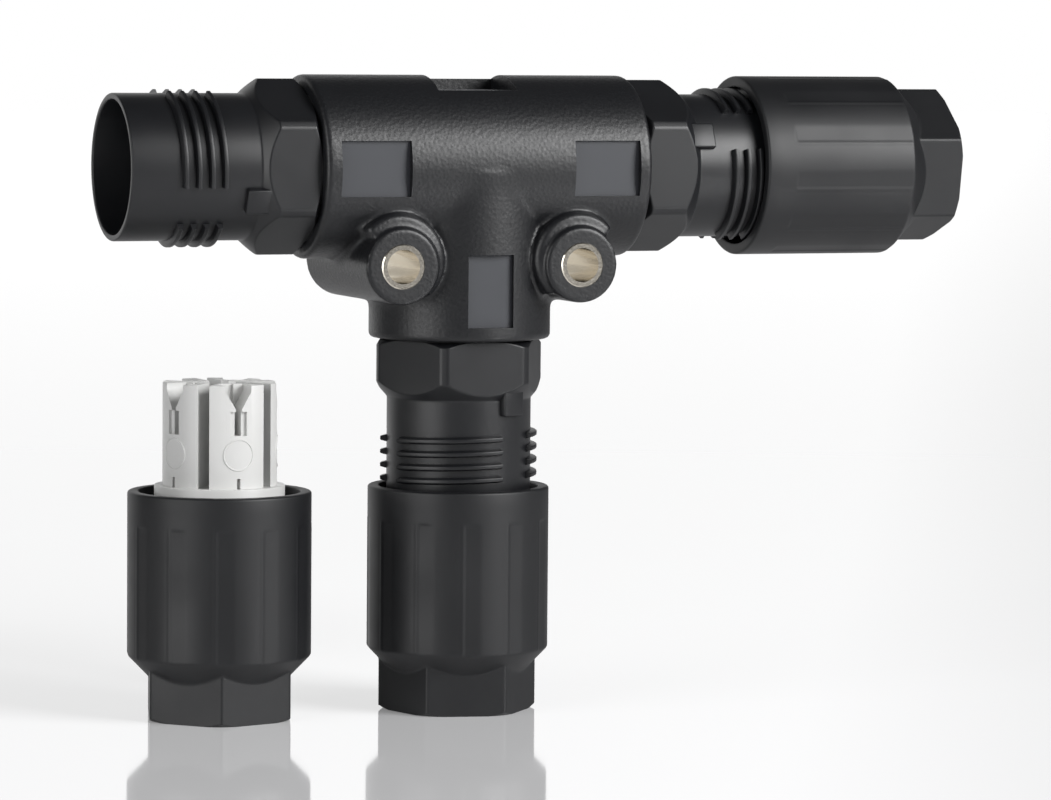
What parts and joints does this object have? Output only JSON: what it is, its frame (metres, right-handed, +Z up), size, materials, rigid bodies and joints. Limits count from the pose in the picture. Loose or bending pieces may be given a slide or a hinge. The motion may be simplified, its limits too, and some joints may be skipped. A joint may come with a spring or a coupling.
{
  "type": "tee cable connector adapter",
  "caption": "Black moulded T adapter that joins round multi-core cables, with threaded ports, union nuts, a grey wire guide and metal-bushed mounting bosses.",
  "frame": {"origin": "centre of the bottom union nut's foot, where its cable hole opens on the surface it stands on", "axes": "+Z up along the stem, +X along the arm towards the port that carries a nut, -Y the front with the label pockets"},
  "size_m": [0.1728, 0.0383, 0.1242],
  "materials": {
    "housing_plastic": "black, moulded with a grained surface",
    "sleeve_plastic": "black, smooth satin moulding",
    "nut_plastic": "black, smooth satin moulding",
    "guide_plastic": "light grey, fine satin moulding",
    "cage_plastic": "grey, natural moulding",
    "carrier_plastic": "black, smooth moulding",
    "plated_metal": "turned brass, nickel plated",
    "contact_metal": "stamped contact strip, tin plated",
    "seal_rubber": "black rubber"
  },
  "bodies": {
    "tee": {"tee_housing": "housing_plastic", "mounting_bush_left": "plated_metal", "mounting_bush_right": "plated_metal", "port_sleeve_left": "sleeve_plastic", "face_seal_left": "seal_rubber", "contact_carrier_left": "carrier_plastic", "contact_blades_left": "contact_metal", "port_sleeve_bottom": "sleeve_plastic", "face_seal_bottom": "seal_rubber", "contact_carrier_bottom": "carrier_plastic", "contact_blades_bottom": "contact_metal", "port_sleeve_right": "sleeve_plastic", "face_seal_right": "seal_rubber", "contact_carrier_right": "carrier_plastic", "contact_blades_right": "contact_metal", "busbar_1": "contact_metal", "busbar_2": "contact_metal", "busbar_3": "contact_metal", "busbar_4": "contact_metal", "busbar_5": "contact_metal", "busbar_block": "carrier_plastic", "union_nut_loose": "nut_plastic"},
    "loose_guide": {"wire_guide_loose": "guide_plastic", "clamping_cage_loose": "cage_plastic", "cable_seal_loose": "seal_rubber"},
    "right_guide": {"wire_guide_right": "guide_plastic", "clamping_cage_right": "cage_plastic", "cable_seal_right": "seal_rubber"},
    "right_nut": {"union_nut_right": "nut_plastic"},
    "bottom_guide": {"wire_guide_bottom": "guide_plastic", "clamping_cage_bottom": "cage_plastic", "cable_seal_bottom": "seal_rubber"},
    "bottom_nut": {"union_nut_bottom": "nut_plastic"}
  },
  "joints": [
    {"name": "right_guide_slide", "type": "slide", "parent": "tee", "child": "right_guide", "axis": [1, 0, 0], "range_m": [-0.00975, 0.00436]},
    {"name": "right_nut_turn", "type": "hinge", "parent": "right_guide", "child": "right_nut", "pos_m": [0.05805, 0, 0.10641], "axis": [1, 0, 0], "range_deg": [-1350, 603]},
    {"name": "bottom_guide_slide", "type": "slide", "parent": "tee", "child": "bottom_guide", "axis": [0, 0, -1], "range_m": [-0.01411, 0]},
    {"name": "bottom_nut_turn", "type": "hinge", "parent": "bottom_guide", "child": "bottom_nut", "pos_m": [0, 0, 0.044], "axis": [0, 0, -1], "range_deg": [-1953, 0]},
    {"name": "loose_guide_turn", "type": "hinge", "parent": "tee", "child": "loose_guide", "pos_m": [-0.0484, 0.0018, 0.044], "axis": [0, 0, 1], "continuous": true}
  ],
  "couplings": [
    {"joint": "right_guide_slide", "follows": "right_nut_turn", "m_per_rad": 0.0004138},
    {"joint": "bottom_guide_slide", "follows": "bottom_nut_turn", "m_per_rad": 0.0004138}
  ]
}
